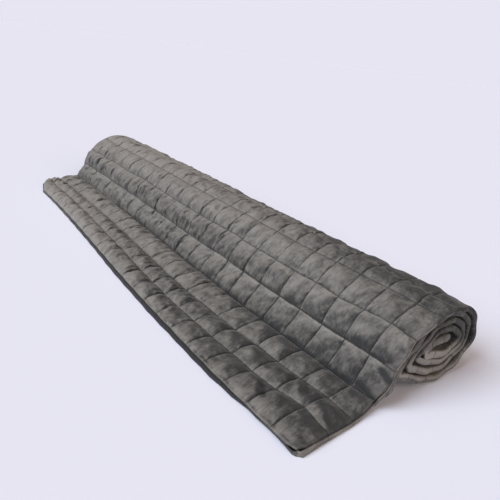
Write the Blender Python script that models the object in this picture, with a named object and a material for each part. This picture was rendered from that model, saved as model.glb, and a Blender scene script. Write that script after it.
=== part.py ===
"""A square-quilted weighted blanket, rolled up from one end with its last rows lying flat.

The blanket is one filled solid: two panels sewn together along every quilting line and
meeting in a knife edge all round. Its middle surface is swept along a spiral section, and
each panel stands off that surface by the filling, most in the centre of every square.

X runs along the roll, Y from the free edge to the roll and Z up, in metres. The underside
of the flat rows and of the roll rests on z = 0.
"""

import bmesh
import bpy
import numpy as np

SQUARE = 0.0536  # one quilted square, seam to seam
COLUMNS = 23  # squares along the roll
ROWS = 34  # squares from the free edge to the inner end
EDGE_COLUMN = 0.87 * SQUARE  # the squares at both ends of the roll are narrower
EDGE_ROW = SQUARE
RIM = 0.12 * SQUARE  # the sloping strip inside the hem

SEAM_HALF = 0.0020  # half the thickness where the panels are stitched together
RIM_HALF = 0.0048  # half the thickness just inside the hem
CROWNS_OUT = (0.0095, 0.0110, 0.0080, 0.0065, 0.0058, 0.0050)  # row by row, then the last
CROWN_IN = 0.0045  # rise of the inward panel, pressed by the next turn
INNER_HALF = 0.0040  # half the thickness of the turns inside the roll
FLOOR_FLAT = 0.0030  # anything this near the floor is pressed flat on it
FLAT_REACH = 2.6 * SQUARE  # the underside lies flat this far from the free edge
FLAT_BELLY = 0.0075  # and hangs this far below the middle surface
ROLL_FLAT = 0.0114  # the roll rests where its middle surface is no higher than this

PUFFED_ROWS = 15  # rows modelled square by square, to the end of the outer turn
INNER_STEP = 4  # columns between section lines on the inner turns
ROW_STEPS = 3  # facets across a square, round the roll
COLUMN_STEPS = 2  # facets along a square

# The seam lines of the flat rows, across the roll, from the free edge.
FLAT_SEAMS = (
    # line, y, z
    ("free_edge", 0.0000, 0.0072),
    ("first", 0.0536, 0.0072),
    ("second", 0.1072, 0.0066),
    ("third", 0.1598, 0.0133),
)

# The spiral by direction from its middle: where the middle surface would start, and how
# far it moves inward with each turn. A turn starts on the left, where the flat rows end.
ROLL_DIRECTIONS = (
    # side, y, z, step_y, step_z
    ("left", 0.1932, 0.0552, 0.0183, 0.0039),
    ("top_left", 0.2284, 0.1074, 0.0114, -0.0075),
    ("top", 0.3002, 0.1427, 0.0000, -0.0134),
    ("top_right", 0.3762, 0.1207, -0.0095, -0.0099),
    ("right", 0.4122, 0.0637, -0.0147, 0.0004),
    ("bottom_right", 0.3820, 0.0164, -0.0106, 0.0095),
    ("bottom", 0.3119, -0.0013, -0.0014, 0.0139),
    ("bottom_left", 0.2297, 0.0316, 0.0097, 0.0081),
)

RISE_PULL = 0.30  # the row that rises to the roll is almost straight, with its fold below
RISE_WAY = (0.50, 0.87)  # its direction where it leaves the flat rows, in y and z

CORE_TURNS = 3.8  # from here on the blanket lies slack inside the roll
CORE_SAG = 0.0087  # how much lower the slack end lies, for each further turn
SPIRAL_TURNS = 5  # longer than the blanket, which ends part of the way
SPIRAL_POINTS = 2001
RISE_POINTS = 60
SLOPE_REACH = 0.15 * SQUARE  # the section's direction is taken over this much to each side

# Where the seam lines leave the section: in the middle of the blanket's length, at its far
# end, by the first cross seam of its near end, and all over its near end.
SEAM_SHIFTS = (
    # line, mid_y, far_y, far_z, near_y, near_z, end_y, end_z
    ("free_edge", 0.0000, 0.0445, 0.0020, 0.0000, 0.0000, 0.0000, 0.0000),
    ("first", -0.0070, 0.0268, 0.0090, 0.0045, 0.0060, 0.0000, 0.0000),
    ("second", -0.0120, 0.0107, 0.0054, 0.0000, 0.0040, 0.0000, 0.0000),
    ("third", -0.0030, 0.0150, 0.0054, 0.0000, 0.0000, 0.0000, 0.0000),
    ("fourth", 0.0000, 0.0064, 0.0050, -0.0070, 0.0080, 0.0000, 0.0000),
    ("fifth", 0.0000, 0.0000, 0.0030, 0.0016, 0.0055, 0.0000, 0.0000),
    ("sixth", 0.0000, 0.0000, 0.0040, 0.0000, 0.0000, 0.0125, 0.0030),
    ("seventh", 0.0000, 0.0000, 0.0045, 0.0000, 0.0000, 0.0060, 0.0000),
    ("eighth", 0.0000, 0.0000, 0.0050, 0.0000, 0.0000, 0.0000, 0.0000),
    ("ninth", 0.0000, 0.0000, 0.0050, 0.0000, 0.0000, 0.0000, 0.0000),
    ("tenth", 0.0000, 0.0000, 0.0000, 0.0000, 0.0000, 0.0000, 0.0000),
)
MID_BELL = (0.60, 0.19)  # where the middle shift is greatest, and its spread
NEAR_BELL = (0.047, 0.045)  # the same for the near shift
FAR_REACH = (0.24, 1.13)  # the far shift sets in and is complete here
END_REACH = (0.04, 0.26)  # the shift of the near end starts to fade and is gone here

# Rounded corners of the free edge: reach along both sides, and share cut off.
NEAR_CORNER = (0.016, 0.30)
FAR_CORNER = (0.087, 0.32)

CHARCOAL = (0.105, 0.107, 0.103, 1.0)


def smooth_ring(values, turns):
    """A closed smooth curve through evenly spaced values, read at places in turns."""
    count = len(values)
    waves = np.fft.rfft(np.asarray(values, float)) / count
    angles = 2 * np.pi * np.outer(turns, np.arange(len(waves)))
    doubled = np.full(len(waves), 2.0)
    doubled[0] = 1.0
    doubled[-1] = 1.0
    return (np.cos(angles) * waves.real - np.sin(angles) * waves.imag) @ doubled


def bezier(start, start_pull, end_pull, end, share):
    """A cubic curve between two points, at shares of its way."""
    back = 1 - share
    return (
        np.outer(back**3, start)
        + np.outer(3 * back**2 * share, start_pull)
        + np.outer(3 * back * share**2, end_pull)
        + np.outer(share**3, end)
    )


def section_line():
    """Points of the middle surface across the roll, with their distance along it."""
    turns = np.linspace(0, SPIRAL_TURNS, SPIRAL_POINTS)
    columns = np.array([row[1:] for row in ROLL_DIRECTIONS])
    start_y, start_z, step_y, step_z = [smooth_ring(c, turns) for c in columns.T]
    sag = CORE_SAG * np.clip(turns - CORE_TURNS, 0, None)
    spiral = np.stack([start_y + turns * step_y, start_z + turns * step_z - sag], axis=1)
    flat = np.array([row[1:] for row in FLAT_SEAMS])
    share = np.linspace(0, 1, RISE_POINTS)
    leaving = spiral[1] - spiral[0]
    leaving = leaving / np.linalg.norm(leaving)
    pull = RISE_PULL * np.linalg.norm(spiral[0] - flat[-1])
    way_out = flat[-1] + pull * np.array(RISE_WAY)
    rise = bezier(flat[-1], way_out, spiral[0] - pull * leaving, spiral[0], share)
    line = np.concatenate([flat[:-1], rise[:-1], spiral])
    lengths = np.linalg.norm(np.diff(line, axis=0), axis=1)
    return line, np.concatenate([[0], np.cumsum(lengths)])


LINE, ALONG = section_line()


def section_at(distance):
    """Place and outward direction of the middle surface at a distance from the free edge."""
    def place(s):
        return np.array([np.interp(s, ALONG, LINE[:, k]) for k in (0, 1)])

    way = place(distance + SLOPE_REACH) - place(distance - SLOPE_REACH)
    way = way / np.linalg.norm(way)
    return place(distance), np.array([-way[1], way[0]])


def smooth_step(value, low, high):
    """0 below low and 1 above high, with a smooth rise between."""
    share = min(1.0, max(0.0, (value - low) / (high - low)))
    return share * share * (3 - 2 * share)


def bell(value, centre, spread):
    """1 at the centre, falling off smoothly on both sides."""
    return float(np.exp(-(((value - centre) / spread) ** 2)))


def size_of(count, edge):
    """The blanket's size one way, with this many squares and the edge squares this wide."""
    return 2 * edge + SQUARE * (count - 2)


def grid_lines(count, edge, steps):
    """Distances of the grid's lines from one hem, with a line each side of the rims."""
    lines = [0.0, RIM]
    for square in range(count):
        start = 0.0 if square == 0 else edge + SQUARE * (square - 1)
        width = edge if square in (0, count - 1) else SQUARE
        lines += [start + width * step / steps for step in range(1, steps + 1)]
    total = size_of(count, edge)
    lines = lines[:-1] + [total - RIM, total]
    return np.array(sorted(lines))


def fill_share(distance, count, edge):
    """How full the quilting is at a distance from a hem: 0 on a seam, 1 at mid-square."""
    total = size_of(count, edge)
    if distance < edge:
        phase = distance / edge
    elif distance > total - edge:
        phase = (total - distance) / edge
    else:
        phase = (distance - edge) / SQUARE
    return abs(np.sin(np.pi * phase))


def cut_corner(from_end, from_edge, corner):
    """Draws a point in near a corner of the free edge, most at the corner itself."""
    reach, share = corner
    pull = max(0.0, 1 - from_end / reach) * max(0.0, 1 - from_edge / reach)
    return from_end + share * reach * pull, from_edge + share * reach * pull


def middle_point(across, along):
    """Place and outward direction at a distance from the free edge and the near end."""
    length = size_of(COLUMNS, EDGE_COLUMN)
    along, across = cut_corner(along, across, NEAR_CORNER)
    from_far, across = cut_corner(length - along, across, FAR_CORNER)
    along = length - from_far
    (y, z), outward = section_at(across)
    seams = SQUARE * np.arange(len(SEAM_SHIFTS))
    shifts = [np.interp(across, seams, column) for column in list(zip(*SEAM_SHIFTS))[1:]]
    far = smooth_step(along, *FAR_REACH)
    near = bell(along, *NEAR_BELL)
    end = 1 - smooth_step(along, *END_REACH)
    y += bell(along, *MID_BELL) * shifts[0] + far * shifts[1] + near * shifts[3] + end * shifts[5]
    z += far * shifts[2] + near * shifts[4] + end * shifts[6]
    return np.array([-along, y, z]), np.array([0.0, *outward])


def blanket_mesh():
    """Both panels as grids on the same lines, joined where they meet in the hem."""
    across_lines = grid_lines(ROWS, EDGE_ROW, ROW_STEPS)
    along_lines = grid_lines(COLUMNS, EDGE_COLUMN, COLUMN_STEPS)
    rows, columns = len(across_lines) - 1, len(along_lines) - 1
    mesh = bmesh.new()
    for side in (1, -1):
        made = bmesh.ops.create_grid(mesh, x_segments=columns, y_segments=rows, size=1.0)
        panel = made["verts"]
        loose = {}
        for vertex in panel:
            i = round((vertex.co.x + 1) / 2 * columns)
            j = round((vertex.co.y + 1) / 2 * rows)
            vertex.co = panel_point(across_lines, along_lines, i, j, side)
            loose[i, j] = vertex
        faces = {face for vertex in panel for face in vertex.link_faces}
        if side == 1:
            bmesh.ops.reverse_faces(mesh, faces=list(faces))
        thin_out(mesh, loose, across_lines, columns)
    bmesh.ops.remove_doubles(mesh, verts=mesh.verts[:], dist=1e-6)
    return mesh


def panel_point(across_lines, along_lines, i, j, side):
    """One grid point of the outward (1) or inward (-1) panel."""
    across, along = across_lines[j], along_lines[i]
    middle, outward = middle_point(across, along)
    hem = i in (0, len(along_lines) - 1) or j in (0, len(across_lines) - 1)
    if hem:
        return middle
    full = fill_share(across, ROWS, EDGE_ROW) * fill_share(along, COLUMNS, EDGE_COLUMN)
    inner = across > EDGE_ROW + SQUARE * (PUFFED_ROWS - 1)
    if inner:
        half = INNER_HALF
    else:
        row = min(int(across / SQUARE), len(CROWNS_OUT) - 1)
        crown = CROWNS_OUT[row] if side == 1 else CROWN_IN
        half = SEAM_HALF + (crown - SEAM_HALF) * full
    rim = i in (1, len(along_lines) - 2) or j in (1, len(across_lines) - 2)
    if rim:
        half = min(RIM_HALF, INNER_HALF) if inner else RIM_HALF
    flat_row = across < FLAT_REACH
    point = middle + side * half * outward
    if side == -1 and flat_row:
        point[2] = max(0.0, middle[2] - FLAT_BELLY)
    resting = side == 1 and outward[2] < 0 and middle[2] < ROLL_FLAT
    if resting or point[2] < FLOOR_FLAT:
        point[2] = 0.0
    return point


def thin_out(mesh, panel, across_lines, columns):
    """Leaves fewer section lines on the inner turns, which only their ends show."""
    first = int(np.searchsorted(across_lines, EDGE_ROW + SQUARE * PUFFED_ROWS))
    kept = {0, 1, columns - 1, columns} | set(range(2, columns - 1, COLUMN_STEPS * INNER_STEP))
    doomed = []
    for (i, j), vertex in panel.items():
        if i in kept or j < first or (i, j + 1) not in panel:
            continue
        ahead = panel[i, j + 1]
        doomed += [edge for edge in vertex.link_edges if edge.other_vert(vertex) is ahead]
    bmesh.ops.dissolve_edges(mesh, edges=doomed, use_verts=True, use_face_split=False)


def charcoal_fabric():
    """A dark grey brushed pile."""
    fabric = bpy.data.materials.new("charcoal_plush")
    fabric.use_nodes = True
    shader = fabric.node_tree.nodes["Principled BSDF"]
    shader.inputs["Base Color"].default_value = CHARCOAL
    shader.inputs["Roughness"].default_value = 0.9
    fabric.diffuse_color = CHARCOAL
    return fabric


def centre_on_floor(mesh):
    """Moves the part so that its box stands centred over the origin."""
    places = np.array([vertex.co for vertex in mesh.verts])
    low, high = places.min(axis=0), places.max(axis=0)
    shift = (-(low[0] + high[0]) / 2, -(low[1] + high[1]) / 2, -low[2])
    bmesh.ops.translate(mesh, vec=shift, verts=mesh.verts[:])


def main():
    for old in list(bpy.data.objects):
        bpy.data.objects.remove(old)
    group = bpy.data.collections.new("weighted_blanket")
    bpy.context.scene.collection.children.link(group)
    mesh = blanket_mesh()
    centre_on_floor(mesh)
    shape = bpy.data.meshes.new("blanket")
    mesh.to_mesh(shape)
    mesh.free()
    blanket = bpy.data.objects.new("blanket", shape)
    blanket.data.materials.append(charcoal_fabric())
    group.objects.link(blanket)


main()
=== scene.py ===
"""A square-quilted weighted blanket of brushed plush, rolled up with its last rows lying flat.

The blanket is two panels, sewn together along every quilting line and in a knife edge all
round, over a middle surface that follows a spiral section. Places on a panel are given by
two distances, measured as if it lay flat: across, from the free edge, and along, from the
near end. X runs along the roll, Y from the free edge to the roll and Z up, in metres.
"""

import math

import bpy
import numpy as np
from bpy.props import FloatProperty, FloatVectorProperty, IntProperty, PointerProperty
from bpy.props import StringProperty
from mathutils import Matrix, Vector


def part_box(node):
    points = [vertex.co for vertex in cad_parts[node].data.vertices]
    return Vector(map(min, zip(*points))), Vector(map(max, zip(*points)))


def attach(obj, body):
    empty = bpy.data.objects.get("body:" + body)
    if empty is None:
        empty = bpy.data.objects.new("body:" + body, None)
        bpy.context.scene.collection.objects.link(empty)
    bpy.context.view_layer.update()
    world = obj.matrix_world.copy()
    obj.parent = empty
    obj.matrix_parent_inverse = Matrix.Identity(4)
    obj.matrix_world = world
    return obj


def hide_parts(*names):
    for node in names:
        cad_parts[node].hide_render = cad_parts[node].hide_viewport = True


bl_info = {
    "name": "Rolled Weighted Blanket",
    "version": (1, 0, 0),
    "blender": (4, 5, 0),
    "location": "3D View > Sidebar > Blanket",
    "description": "A square-quilted plush blanket, rolled with its last rows lying flat",
    "category": "Add Mesh",
}

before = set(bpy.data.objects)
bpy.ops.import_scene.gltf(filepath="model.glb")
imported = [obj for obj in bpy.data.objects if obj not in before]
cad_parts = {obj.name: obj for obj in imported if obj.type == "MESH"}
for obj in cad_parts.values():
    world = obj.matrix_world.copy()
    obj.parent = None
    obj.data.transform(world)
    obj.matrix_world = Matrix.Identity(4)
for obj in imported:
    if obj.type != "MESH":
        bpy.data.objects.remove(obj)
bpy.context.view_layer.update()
BLANKET_LOW, BLANKET_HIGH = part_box("blanket")
SQUARE = 0.0536  # one quilted square, seam to seam

# The seam lines of the flat rows, across the roll, from the free edge.
FLAT_SEAMS = (
    # line, y, z
    ("free_edge", 0.0000, 0.0072),
    ("first", 0.0536, 0.0072),
    ("second", 0.1072, 0.0066),
    ("third", 0.1598, 0.0133),
)

# The spiral by direction from its middle: where the middle surface would start, and how
# far it moves inward with each turn. A turn starts on the left, where the flat rows end.
ROLL_DIRECTIONS = (
    # side, y, z, step_y, step_z
    ("left", 0.1932, 0.0552, 0.0183, 0.0039),
    ("top_left", 0.2284, 0.1074, 0.0114, -0.0075),
    ("top", 0.3002, 0.1427, 0.0000, -0.0134),
    ("top_right", 0.3762, 0.1207, -0.0095, -0.0099),
    ("right", 0.4122, 0.0637, -0.0147, 0.0004),
    ("bottom_right", 0.3820, 0.0164, -0.0106, 0.0095),
    ("bottom", 0.3119, -0.0013, -0.0014, 0.0139),
    ("bottom_left", 0.2297, 0.0316, 0.0097, 0.0081),
)
RISE_PULL = 0.30  # the row that rises to the roll is almost straight, with its fold below
RISE_WAY = (0.50, 0.87)  # its direction where it leaves the flat rows, in y and z
RISE_POINTS = 60
SPIRAL_TURNS = 5  # turns that are worked out, more than the rows need
SPIRAL_POINTS = 2001
CORE_TURNS = 3.8  # from here on the blanket lies slack inside the roll
CORE_SAG = 0.0087  # how much lower the slack end lies, for each further turn
NORMAL_REACH = 0.15  # share of a square, to both sides, that gives the section's direction

# Where the seam lines leave the section: in the middle of the blanket's length, at its far
# end, by the first cross seam of its near end, and all over its near end.
SEAM_SHIFTS = (
    # line, mid_y, far_y, far_z, near_y, near_z, end_y, end_z
    ("free_edge", 0.0000, 0.0445, 0.0020, 0.0000, 0.0000, 0.0000, 0.0000),
    ("first", -0.0078, 0.0268, 0.0090, 0.0045, 0.0060, 0.0000, 0.0000),
    ("second", -0.0130, 0.0107, 0.0054, 0.0000, 0.0040, 0.0000, 0.0000),
    ("third", -0.0030, 0.0150, 0.0054, 0.0000, 0.0000, 0.0000, 0.0000),
    ("fourth", 0.0000, 0.0064, 0.0050, -0.0070, 0.0080, 0.0000, 0.0000),
    ("fifth", 0.0000, 0.0000, 0.0030, 0.0016, 0.0055, 0.0000, 0.0000),
    ("sixth", 0.0000, 0.0000, 0.0040, 0.0000, 0.0000, 0.0125, 0.0030),
    ("seventh", 0.0000, 0.0000, 0.0045, 0.0010, 0.0010, 0.0060, 0.0000),
    ("eighth", 0.0000, 0.0000, 0.0050, 0.0040, 0.0036, 0.0000, 0.0000),
    ("ninth", 0.0000, 0.0000, 0.0050, 0.0010, 0.0000, 0.0000, 0.0000),
    ("tenth", 0.0000, 0.0000, 0.0000, 0.0000, 0.0000, 0.0000, 0.0000),
)
MID_BELL = (0.45, 0.27)  # where the middle shift is greatest, and its spread
NEAR_BELL = (0.047, 0.045)  # the same for the near shift
FAR_REACH = (0.24, 1.13)  # the far shift sets in and is complete here
END_REACH = (0.04, 0.26)  # the shift of the near end starts to fade and is gone here
NEAR_CORNER = (0.016, 0.30)  # reach along both sides, and share cut off
FAR_CORNER = (0.087, 0.32)

# The turns inside the roll hang out at its near end: the distances from the free edge where
# this sets in and where it fades, and how far it moves them.
SLACK_START = (0.58, 0.66)
SLACK_END = (0.75, 1.60)
SLACK_LEFT = 0.0055  # to the left, where they face left
SLACK_DOWN = (0.0095, 0.0065)  # to the left and down, where they face down and left
DOWN_LEFT = (0.8, 0.6)  # that way, as shares of left and down
SLACK_HEM = 0.0024  # how much higher a panel stands at their hem

# The filling is loose in the last rows, in the middle of the roll.
LOOSE_ROWS = (3.5, 1.5)  # from the inner end: where this sets in and is complete
LOOSE_HEM = 0.0028  # how much higher a panel stands at the hem
LOOSE_CROWN = 0.0026  # how much higher its squares are
LOOSE_LIE = 0.30  # how much lighter its pile lies

# The filling by row from the free edge; rows past the last are like it. The arch lifts a
# whole row between its seams, at the near and at the far end.
ROW_FILLING = (
    # row, crown, arch_near, arch_far
    (0, 0.0048, 0.0048, 0.0055),
    (1, 0.0050, 0.0058, 0.0075),
    (2, 0.0060, 0.0022, 0.0050),
    (3, 0.0058, 0.0000, 0.0060),
    (4, 0.0052, 0.0010, 0.0065),
    (5, 0.0044, 0.0010, 0.0040),
    (6, 0.0040, 0.0005, 0.0022),
    (7, 0.0030, 0.0000, 0.0010),
)

# The hem on the flat rows: how far its seam stands out and its height above the floor,
# and how far the foot of the lower panel stands out below it.
NEAR_HEM = (
    # across, out, height, foot
    (0.000, 0.0066, 0.0092, 0.0100),
    (0.013, 0.0062, 0.0092, 0.0096),
    (0.038, 0.0056, 0.0084, 0.0076),
    (0.070, 0.0044, 0.0068, 0.0056),
    (0.102, 0.0032, 0.0056, 0.0044),
    (0.139, 0.0000, 0.0066, 0.0016),
    (0.161, -0.0030, 0.0100, 0.0010),
    (0.190, 0.0000, 0.0400, 0.0000),
    (0.420, 0.0000, 0.0400, 0.0000),
    (0.500, 0.0050, 0.0400, 0.0000),
    (0.620, 0.0050, 0.0400, 0.0000),
    (0.720, 0.0000, 0.0400, 0.0000),
)
FREE_HEM = (
    # along, out, height, foot
    (0.000, 0.0060, 0.0092, 0.0064),
    (0.035, 0.0045, 0.0070, 0.0012),
    (0.090, 0.0045, 0.0070, 0.0012),
    (0.130, 0.0056, 0.0082, 0.0054),
    (0.180, 0.0060, 0.0088, 0.0072),
    (0.320, 0.0014, 0.0080, 0.0052),
    (0.700, 0.0010, 0.0060, 0.0040),
    (1.219, 0.0004, 0.0036, 0.0014),
)

# Folds that stand out on the outward panel: from one place to another, in squares along
# and across, as a rise of this height and half width.
FOLDS = (
    # fold, along, across, to_along, to_across, height, half
    ("rise_facet", 0.34, 3.76, 0.00, 3.70, -0.0034, 0.0058),
    ("rise_ridge", 0.54, 3.68, 0.05, 3.44, 0.0034, 0.0034),
    ("rise_crease", 0.78, 3.14, 0.06, 3.04, -0.0050, 0.0023),
    ("foot_crease", 2.10, 3.00, 1.00, 3.00, -0.0030, 0.0030),
    ("foot_valley", 17.0, 3.00, 2.40, 3.00, -0.0017, 0.0032),
    ("flat_valley", 15.0, 2.00, 2.60, 2.00, -0.0015, 0.0030),
    ("flat_streak", 1.75, 1.75, 1.35, 1.25, 0.0034, 0.0045),
    ("flat_dip", 1.55, 1.85, 1.15, 1.45, -0.0034, 0.0045),
    ("corner_dip", 0.62, 1.45, 0.20, 1.25, -0.0030, 0.0060),
    ("edge_fold", 2.30, 0.85, 1.70, 0.45, -0.0030, 0.0045),
)

# How light the pile lies on the outward panel, by row and by distance from the near end in
# metres: 0 is stroked away and dark, 1 is stroked up and light. Besides the pile's own lie it
# holds painted light and shade: lighter towards the far end, darker on the top rows by the near
# end.
LIE_ALONG = (0.03, 0.20, 0.40, 0.65, 1.10)
PILE_LIE_AND_PAINTED_LIGHT = (
    # row, at each distance
    (0.0, 0.24, 0.22, 0.41, 0.69, 0.85),
    (1.0, 0.05, 0.13, 0.30, 0.46, 0.64),
    (2.0, 0.23, 0.35, 0.58, 0.78, 0.76),
    (2.5, 0.20, 0.22, 0.40, 0.52, 0.58),
    (3.0, 0.29, 0.41, 0.62, 0.59, 0.64),
    (4.0, 0.40, 0.49, 0.46, 0.49, 0.64),
    (5.0, 0.48, 0.60, 0.78, 0.77, 0.81),
    (6.0, 0.08, 0.26, 0.55, 0.67, 0.96),
    (7.0, -0.20, -0.15, 0.14, 0.55, 0.75),
    (9.0, -0.15, -0.10, 0.14, 0.55, 0.75),
    (11.0, 0.60, 0.30, 0.30, 0.55, 0.75),
)

# Noises of the cloth: the sizes of their waves in the two directions they are asked in,
# and the seeds of their random heights.
NOISES = {
    # noise: (first_size, second_size, seed)
    "lumps": (0.021, 0.021, 21),
    "small_lumps": (0.011, 0.011, 22),
    "gather_stray": (0.04, 0.07, 23),
    "gathers": (0.0165, 0.036, 24),
    "small_gathers": (0.0085, 0.020, 25),
    "gather_patches": (0.09, 0.09, 26),
    "row_puckers": (0.0055, 0.03, 27),
    "column_puckers": (0.0055, 0.03, 28),
    "wander_across": (0.09, 0.05, 5),
    "wander_along": (0.05, 0.09, 6),
}
CELL_SEED = 11  # of the squares' random filling and lean
FULLNESS = (0.72, 1.20)  # range of the squares' filling
LEAN = 0.20  # how far a square's top strays from its middle, as a share of the square
NEAR_ARCH = 0.012  # distances over which an arch rises from the near and the far end
FAR_ARCH = 0.050
SMALL_LUMPS = 0.5  # height of the small lumps over that of the large ones
GATHER_STRAY = 0.008  # how far the gathers stray from straight
GATHER_REACH = (0.15, 0.55)  # they grow between these distances along
NEAR_GATHERS = 0.12  # their share before that
GATHER_MIX = (0.80, 0.75, 0.60)  # shares of the large and small ones, less their mean
PATCH_DEPTH = 0.4  # how much they differ from patch to patch
PUCKER_REACH = 0.004  # the puckers are highest this far from a seam

# What gets less with distance: the share that is lost, and where the loss sets in and is
# complete, in metres or in rows.
PINCH_ALONG = (0.60, 0.15, 0.65)  # how far the cross seams draw a row's crown in
PINCH_ROWS = (0.45, 5.8, 7.2)
GATHER_ROWS = (0.30, 4.0, 6.0)  # the gathers' height
SAG_REACH_ACROSS = (0.62, 0.37, 0.43)  # the reach of the sag at the near end
SAG_ACROSS = (0.85, 0.39, 0.45)  # its depth
PAINTED_LIGHT_ALONG = (0.60, 0.10, 0.80)  # how much painted light the slopes that face the light get
EDGE_SHADE_ALONG = (0.70, 0.60, 1.10)  # the painted shade under the edges
LYING_ROWS = (1.00, 2.2, 3.0)  # whether the blanket lies flat
FLOOR_ROWS = (1.00, 2.3, 2.6)  # whether its inward panel rests on the floor

# Beside the hems and at the near end.
HEM_FADE = 0.020  # reach of the panels' height at the hem
FLAT_HEM_FADE = 0.008  # how much shorter that is on the flat rows
TABLE_FADE = 0.010  # reach of the hem tables
HEM_REACH = 0.020  # reach of the round, the scallops and all else beside a hem
NEAR_ZERO = 1e-6  # least fade that is divided by
HEM_LIFT = 0.004  # how far a hem's seam may be lifted to its height in the tables
EDGE_SCALLOP = 0.5  # scallop of the edges over that of the end hems
EDGE_SCALLOP_REACH = (0.03, 0.08)  # it sets in between these distances along
SAG_START = (0.25, 0.33)  # the sag sets in between these distances across
LIP_BELL = (0.190, 0.042)  # a lip stands out at the roll's foot: its middle and spread
LIP_REACH = 0.008  # width of the lip
LIP_OUT = 0.0065  # how far it stands out

# How light the pile lies, with painted light and shade, besides its table.
WOUND_ROWS = (5.8, 7.0)  # the turns of the roll begin between these
PAINTED_LIT_WAY = (0.5, 0.7)  # they are painted lighter where they face this way, to the left and down
PAINTED_LIT_LEVEL = 0.5  # how much painted light they get where they face neither way
UNDER_LIE = 0.25  # the inward panel's pile
UNDER_PAINTED_LIGHT = 0.44  # painted light: how much lighter it is past the near end
UNDER_REACH = (0.10, 0.80)  # it gets lighter between these distances along
END_PAINTED_LIGHT = 0.8  # painted light: how much lighter it is at the near hem
END_PAINTED_LIGHT_FADE = 0.010
END_PAINTED_LIGHT_LESS = 0.2  # what is taken off for that painted light everywhere
EDGE_SHADE = 0.6  # painted shade: how much darker it is along the edges
EDGE_SHADE_FADE = 0.030
EDGE_SHADE_START = (0.005, 0.040)
CORE_SHADED_LIE = 0.1  # painted shade: the outward panel's pile inside the roll
CORE_PAINTED_LIGHT = 0.6  # painted light: how much lighter it is at the near hem, where it faces the light
CORE_PAINTED_LIGHT_FADE = 0.008
WOUND_SHADE = 0.30  # painted shade: how much darker the pile is at the near hem of the roll's outer turn
WOUND_SHADE_FADE = 0.005
PAINTED_CREASE_START = (0.10, 0.60)  # painted shade on the gathers' sides sets in from here on
PAINTED_SIDE_START = (0.015, 0.045)  # painted light on slopes along the roll sets in from here on

# The plush's patterns, in metres.
PATCH_SIZE = 0.022  # pile stroked over by a hand
STREAK_SIZE = (0.0040, 0.0095)  # along the roll and across it
CLUMP_SIZE = 0.006  # tufts that lean together
CLUMP_DEPTH = 0.0018
TUFT_SIZE = 0.0016  # real tufts are finer: these are as coarse as they need to be to show
TUFT_DEPTH = 0.0006
GROOVE_EDGE = (-0.0008, 0.0012)  # a seam's shade fades between these distances from it
GROOVE_STRAY = 0.0016  # how far that edge strays
GROOVE_SHADE = 0.42  # share of the colour that is left in it
FOLD_PILE = (-0.8, 0.0)  # painted shade: where the pile lies this dark, in a fold, it is darkened further
FOLD_SHADE = 0.45  # share of the colour that the painted shade leaves in the deepest
END_GROOVE_ROWS = (3.1, 3.2)  # the end hems' groove stops at the rising row
END_GROOVE_SHARE = 0.8  # distances from an end hem count this much

# Soft distant lights: the way they come from, round from X and up from the floor in
# degrees, their strength, the width of their disc in degrees and their colour.
LIGHTS = (
    # light, round, up, strength, width, colour
    ("key_light", 254, 38, 2.45, 40, "#f0f5ff"),
    ("side_light", 352, 26, 1.15, 60, "#fff0e6"),
    ("top_light", 225, 65, 0.40, 40, "#f8fbff"),
)
AMBIENT_COLOUR = "#ffd4bc"
BACKDROP_COLOUR = "#e7e5f2"

OUTER_ROWS = 15  # rows that lie outside, to the end of the roll's outer turn
FINE_STEPS = 20  # grid lines in a square of the outer rows
INNER_STEPS = 8  # grid lines across a row of the inner turns
COARSE_STEP = 10  # fine lines for each line kept along the hidden faces
FULL_COLUMNS = 2  # columns at each end of a hidden face that keep every line
SEAM_CROWDING = 0.55  # how much closer the grid lines are at a seam than in the middle
HEM_LINES = (0.0, 0.0004, 0.0009, 0.0015, 0.0022, 0.0031, 0.0042, 0.0056, 0.0074, 0.0098)
HEM_LINE_GAP = 0.001  # least space between the hem's lines and a square's
MERGE_STEP = 1e-6  # points closer than this are one
BAKE_MARGIN = 0.005  # free space round each panel on the square that holds both

FLOOR_HALF = 60.0  # half the floor's side
FLOOR_HEIGHT = -0.0003  # just under the blanket, so that they share no surface


def smooth_ring(values, turns):
    """A closed smooth curve through evenly spaced values: their Fourier series, summed."""
    count = len(values)
    waves = np.fft.rfft(np.asarray(values, float)) / count
    angles = 2 * np.pi * np.outer(turns, np.arange(len(waves)))
    doubled = np.full(len(waves), 2.0)
    doubled[0] = 1.0
    doubled[-1] = 1.0
    return (np.cos(angles) * waves.real - np.sin(angles) * waves.imag) @ doubled


def section_line():
    """The middle surface across the roll, as points (y, z) and their distance along it.

    The spiral is the ring of starts plus turns times the ring of steps. It is joined to
    the flat seams by one cubic curve that leaves and arrives in their directions.
    """
    turns = np.linspace(0, SPIRAL_TURNS, SPIRAL_POINTS)
    columns = np.array([row[1:] for row in ROLL_DIRECTIONS])
    start_y, start_z, step_y, step_z = [smooth_ring(c, turns) for c in columns.T]
    sag = CORE_SAG * np.clip(turns - CORE_TURNS, 0, None)
    spiral = np.stack([start_y + turns * step_y, start_z + turns * step_z - sag], axis=1)
    flat = np.array([row[1:] for row in FLAT_SEAMS])
    share = np.linspace(0, 1, RISE_POINTS)[:, None]
    leaving = spiral[1] - spiral[0]
    leaving = leaving / np.linalg.norm(leaving)
    pull = RISE_PULL * np.linalg.norm(spiral[0] - flat[-1])
    way_out = flat[-1] + pull * np.array(RISE_WAY)
    ends = (flat[-1], way_out, spiral[0] - pull * leaving, spiral[0])
    left = 1 - share
    weights = (left**3, 3 * left**2 * share, 3 * left * share**2, share**3)
    rise = sum(weight * end for weight, end in zip(weights, ends))
    line = np.concatenate([flat[:-1], rise[:-1], spiral])
    lengths = np.linalg.norm(np.diff(line, axis=0), axis=1)
    return line, np.concatenate([[0], np.cumsum(lengths)])


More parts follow.
